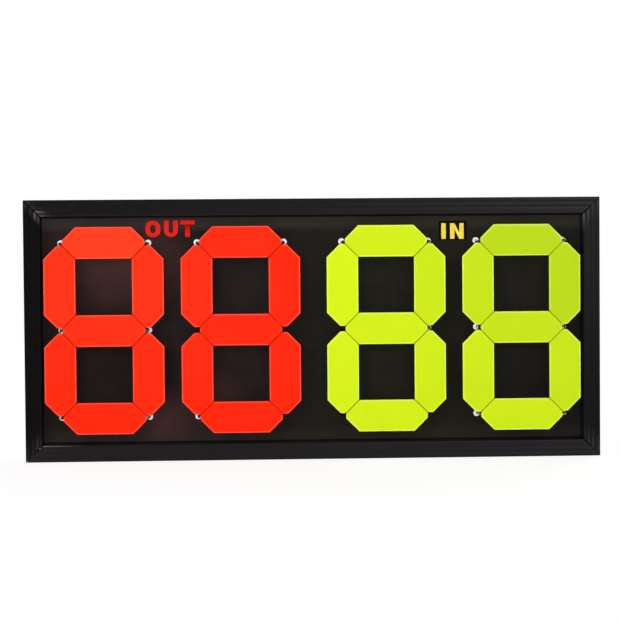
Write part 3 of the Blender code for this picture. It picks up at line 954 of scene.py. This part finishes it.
postFacts = {
    **lengths(gap=0.3, collarRadius=4.3, collarHeight=3.0, collarBore=1.4, collarRound=0.5, collarEase=0.2),
    "collarSides": 64, "collarSteps": 4,
    "collarRings": (0.75, 0.5, 0.3),  # shares of the way from the bore to the rim
    **lengths(rimShift=0.25),  # how far the collar's rim sits towards the digit's middle
    # painted shadow of the flap tips, a round place that is dark: how far towards the digit's middle, how
    # soft and how large
    **lengths(dirtShift=2.2, dirtEdge=0.35), "dirtRadius": lengths(top=2.6, middle=3.0, bottom=2.4),
    **lengths(stemRadius=1.25, domeRise=0.45), "domeSteps": 4, "stemSides": 28,
    **lengths(pinRadius=0.9, pinTip=0.25), "pinSides": 16,
    **lengths(pinReach=5.5, pinRoot=0.9),  # into the flap, and into the stem
    **lengths(headRadius=4.0, headHeight=1.4), "headPower": 0.6, "headSteps": 6, "headSides": 36,
    **lengths(crossLength=3.6, crossWidth=0.8, crossDepth=0.8, crossPast=1), "crossTaper": (0.55, 1.15),
    "white": ((0.96, 0.96, 0.95), (0.93, 0.925, 0.91)), "dirt": (0.0040, 0.0036, 0.0036), "gloss": 0.08,
    # collars and stems that are brown or black all over
    "grimed": ("out_units_post_middle_left", "out_units_post_middle_right", "out_units_post_bottom_right",
               "in_tens_post_middle_left", "in_tens_post_bottom_left", "in_tens_post_bottom_right"),
    "grime": ((0.006, 0.004, 0.003), (0.014, 0.010, 0.008)),
    "steel": ((0.012, 0.011, 0.011), (0.035, 0.034, 0.034)),
    "mottle": (420, 3), "turned": (3000, 2, 0.55, (0.05, 1, 0.05)),
    "steelMottle": (600, 4, 0.6), "steelTurned": (2500, 2, 0.55, (0.1, 1, 0.1)),
    **lengths(turnedDepth=0.008, steelDepth=0.006, softness=0.8),
}


def collarMesh(row, side):
    facts = postFacts
    near, far = facts["gap"], facts["gap"] + facts["collarHeight"]
    outer, inner, radius = facts["collarRadius"], facts["collarBore"], facts["collarRound"]
    # the front edge is rounded outside and eased inside
    profile = [(inner, near), ((inner + outer) / 2, near), (outer, near)]
    for cos, sin in quarterTurn(facts["collarSteps"]):
        profile.append((outer - radius * (1 - cos), far - radius * (1 - sin)))
    profile += [(inner + (outer - inner) * share, far) for share in facts["collarRings"]]
    profile += [(inner + facts["collarEase"], far), (inner, far - facts["collarEase"])]
    collar = turnedMesh("collar", [(r, -along) for r, along in profile], facts["collarSides"], hollow=True)
    for vert in collar.vertices:
        share = (Vector((vert.co.x, vert.co.z)).length - inner) / (outer - inner)
        vert.co += towardsMiddle(row, side) * facts["rimShift"] * share
    markDirt(collar, row, side)
    return collar


def towardsMiddle(row, side):
    return Vector((1 if side == "left" else -1, 0, {"top": -1, "middle": 0, "bottom": 1}[row])).normalized()


def markDirt(mesh, row, side):
    facts = postFacts
    # painted shadow of the flap tips hovering in front
    centre = towardsMiddle(row, side) * facts["dirtShift"]
    dirt = mesh.attributes.new("dirt", "FLOAT", "POINT")
    for vert in mesh.vertices:
        away = math.hypot(vert.co.x - centre.x, vert.co.z - centre.z) - facts["dirtRadius"][row]
        dirt.data[vert.index].value = max(0.0, min(1.0, 0.5 - away / facts["dirtEdge"]))


def pinMesh(start, reach, direction, axis):
    facts = postFacts
    radius, soft, end = facts["pinRadius"], facts["pinTip"], start + reach
    profile = [(0, start), (radius, start), (radius, end - soft), (radius - soft, end), (0, end)]
    mesh = turnedMesh("pin", profile, facts["pinSides"])
    mesh.transform(Vector((0, 1, 0)).rotation_difference(Vector(direction)).to_matrix().to_4x4())
    mesh.transform(Matrix.Translation((0, -axis, 0)))
    return mesh


def stemMesh(row, side):
    # stands along -Y from the panel's front, which is Y 0 here, with a pin towards each flap
    facts = postFacts
    axis = panelLow.y - middleOf("out_tens_top_flap").y
    top = axis + flapFacts["thickness"] / 2
    radius, rise = facts["stemRadius"], facts["domeRise"]
    foot = panelHigh.y - panelLow.y + facts["gap"]
    profile = [(0, -top)]
    for cos, sin in quarterTurn(facts["domeSteps"])[1:]:
        profile.append((radius * sin, -(top - rise * (1 - cos))))
    stem = turnedMesh("stem", profile + [(radius, foot), (0, foot)], facts["stemSides"])
    directions = [(1 if side == "left" else -1, 0, 0)]
    if row != "top":
        directions.append((0, 0, 1))
    if row != "bottom":
        directions.append((0, 0, -1))
    start = radius - facts["pinRoot"]
    reach = facts["pinReach"] + pitch() / 2 - flapCorners()[0][0] - start
    pins = [pinMesh(start, reach, direction, axis) for direction in directions]
    stem = combine(stem, pins, "UNION", f"stem_{row}_{side}")
    markDirt(stem, row, side)
    return stem


def screwMesh():
    # a low pan head with a cross recess, behind the panel
    facts = postFacts
    near = panelHigh.y - panelLow.y + facts["gap"]
    radius, height = facts["headRadius"], facts["headHeight"]
    far = near + height
    profile = [(0, near), (radius, near)]
    for cos, sin in quarterTurn(facts["headSteps"])[1:-1]:
        profile.append((radius * cos ** facts["headPower"], near + height * sin))
    head = turnedMesh("screw", profile + [(0, far)], facts["headSides"])
    cross, sides = [], (facts["crossLength"], facts["crossWidth"])
    for long, short in (sides, sides[::-1]):
        rings = []
        for along, share in zip((far - facts["crossDepth"], far + facts["crossPast"]), facts["crossTaper"]):
            x, z = long / 2 * share, short / 2 * share
            rings.append([(-x, along, -z), (x, along, -z), (x, along, z), (-x, along, z)])
        shape = bmesh.new()
        loftRings(shape, rings)
        cross.append(finishedMesh("cross", shape))
    return combine(head, cross, "DIFFERENCE", "screwHead")


def nylonMaterial(name, colours):
    facts = postFacts
    settings = {"Subsurface Radius": (1.0, 0.9, 0.8), "Subsurface Scale": facts["softness"]}
    material, tree, shader = newMaterial(name, facts["gloss"], settings)
    mottle, turned = patterns(tree, facts, "mottle", "turned")
    # the painted shadow of the flap tips darkens the collar and the stem
    dirt = attribute(tree, "dirt")
    colour = mixColours(tree, spread(tree, mottle, 0.35, 0.7), *colours)
    colour = mixColours(tree, dirt, colour, facts["dirt"])
    tree.links.new(spread(tree, dirt, 0, 1, 0.1, 0.0), shader.inputs["Subsurface Weight"])
    rough = add(tree, spread(tree, mottle, 0.3, 0.7, 0.30, 0.42), multiply(tree, dirt, 0.4))
    finishShader(tree, shader, colour, rough, [(turned, facts["turnedDepth"])])
    return material


def steelMaterial():
    facts = postFacts
    material, tree, shader = newMaterial("blackedSteel", settings={"Metallic": 0.3})
    mottle, turned = patterns(tree, facts, "steelMottle", "steelTurned")
    colour = mixColours(tree, spread(tree, mottle, 0.45, 0.75), *facts["steel"])
    rough = spread(tree, mottle, 0.3, 0.7, 0.30, 0.48)
    finishShader(tree, shader, colour, rough, [(turned, facts["steelDepth"])])
    return material


def makePosts():
    facts = postFacts
    white = nylonMaterial("nylonWhite", facts["white"])
    grime = nylonMaterial("nylonGrimed", facts["grime"])
    steel, screw = steelMaterial(), screwMesh()
    for row in ("top", "middle", "bottom"):
        for side in ("left", "right"):
            stem, collar = stemMesh(row, side), collarMesh(row, side)
            for digit in digitNames:
                node = f"{digit}_post_{row}_{side}"
                x, z = middleOf(f"{digit}_upper_{side}_flap").x, middleOf(f"{digit}_{row}_flap").z
                place = placed((x, panelLow.y, z))
                nylon = grime if node in facts["grimed"] else white
                addPiece(node + "_collar", collar, nylon, "frame", [node], place)
                addPiece(node + "_stem", stem, nylon, "frame", [node], place)
                addPiece(node + "_screw", screw, steel, "frame", [node], place)


makePosts()
print("posts are dressed, a collar, a stem and a screw each")


# Words: plain capitals cut from film, red for the player who leaves and yellow for the one who comes on

wordFacts = {
    **lengths(film=0.30, edge=0.10, grainDepth=0.02),
    # each letter has its left side and its width, in millimetres
    "out": {
        **lengths(low=300.0, height=22.3, stroke=6.4, bar=5.4, lift=0.02),
        "letters": {"o": (-225.5, 20.4), "u": (-200.4, 18.7), "t": (-178.4, 19.4)},
        "finish": "filmRed", "slot": "letter_red",
        "colours": ((0.80, 0.014, 0.008), (0.66, 0.009, 0.006)),
    },
    "in": {
        **lengths(low=294.8, height=21.2, stroke=6.0, bar=5.4, lift=0.14),
        "letters": {"i": (175.2, 6.2), "n": (187.2, 18.6)},
        "finish": "filmYellow", "slot": "letter_yellow",
        "colours": ((0.95, 0.78, 0.090), (0.85, 0.62, 0.035)),
    },
    "gloss": 0.12, "roughness": (0.30, 0.42),
    # the darker patch under the second word
    "patch": {
        **lengths(left=171.7, low=293.0, width=38.2, height=26.1, corner=1.5),
        **lengths(film=0.12, edge=0.03, lift=0.01), "cornerSteps": 5,
        "colours": ((0.0022, 0.0025, 0.0014), (0.0050, 0.0052, 0.0038)),
        "gloss": 0.03, "roughness": (0.22, 0.34),
    },
    "mottle": (180, 4, 0.6), "grain": (700, 2),
    "ovalPower": 0.86, "slant": 0.62, "slantWidth": 1.05,  # the n's slanting stroke, in heights and strokes
}


def ovalOutline(width, height, inset, points=40):
    # a little squarer than an ellipse
    power = wordFacts["ovalPower"]
    middle, half = (width / 2, height / 2), (width / 2 - inset[0], height / 2 - inset[1])
    outline = []
    for i in range(points):
        turn = math.tau * i / points
        circle = (math.cos(turn), math.sin(turn))
        outline.append([m + h * math.copysign(abs(c) ** power, c) for m, h, c in zip(middle, half, circle)])
    return outline


def halfTurn(steps, centre, radius):
    # a lower half circle, from left to right, or back again where the radius is negative
    turns = [math.pi * i / steps for i in range(steps + 1)]
    return [(centre[0] - radius * math.cos(t), centre[1] - abs(radius) * math.sin(t)) for t in turns]


def letterOutlines(letter, width, height, stroke, bar):
    if letter == "o":
        return [ovalOutline(width, height, (0, 0)), ovalOutline(width, height, (stroke, bar))[::-1]]
    if letter == "u":
        outer, inner = width / 2, width / 2 - stroke
        outline = [(0, height), (0, outer)] + halfTurn(12, (outer, outer), outer)
        outline += [(width, height), (width - stroke, height), (width - stroke, outer)]
        return [outline + halfTurn(10, (outer, bar + inner), -inner) + [(stroke, height)]]
    if letter == "t":
        left, right, low = (width - stroke) / 2, (width + stroke) / 2, height - bar
        return [[(left, 0), (right, 0), (right, low), (width, low), (width, height), (0, height), (0, low),
                 (left, low)]]
    if letter == "i":
        return [[(0, 0), (width, 0), (width, height), (0, height)]]
    slant, wide = height * wordFacts["slant"], stroke * wordFacts["slantWidth"]
    return [[(0, 0), (stroke, 0), (stroke, slant), (width - wide, 0), (width, 0), (width, height),
             (width - stroke, height), (width - stroke, height - slant), (wide, height), (0, height)]]


def filmMaterial(name, colours, gloss, roughness):
    facts = wordFacts
    material, tree, shader = newMaterial(name, gloss)
    mottle, grain = patterns(tree, facts, "mottle", "grain")
    colour = mixColours(tree, spread(tree, mottle, 0.35, 0.7), *colours)
    rough = spread(tree, mottle, 0.3, 0.7, *roughness)
    finishShader(tree, shader, colour, rough, [(grain, facts["grainDepth"])])
    return material


def makeWords():
    facts = wordFacts
    for word in ("out", "in"):
        own = facts[word]
        film = filmMaterial(own["finish"], own["colours"], facts["gloss"], facts["roughness"])
        for letter, (left, width) in own["letters"].items():
            outlines = letterOutlines(letter, width * mm, own["height"], own["stroke"], own["bar"])
            mesh = filmMesh(f"letter_{letter}", outlines, facts["film"], facts["edge"])
            place = placed((left * mm, panelLow.y - own["lift"], own["low"]))
            addPiece(f"word_{word}_{letter}", mesh, film, "frame", place=place)
    patch = facts["patch"]
    corners = [(0, 0), (patch["width"], 0), (patch["width"], patch["height"]), (0, patch["height"])]
    outline = roundOutline(corners, patch["corner"], patch["cornerSteps"])
    mesh = filmMesh("word_patch", [outline], patch["film"], patch["edge"])
    tape = filmMaterial("tapeBlack", patch["colours"], patch["gloss"], patch["roughness"])
    place = placed((patch["left"], panelLow.y - patch["lift"], patch["low"]))
    addPiece("word_in_patch", mesh, tape, "frame", place=place)


makeWords()
print("words are on the panel")
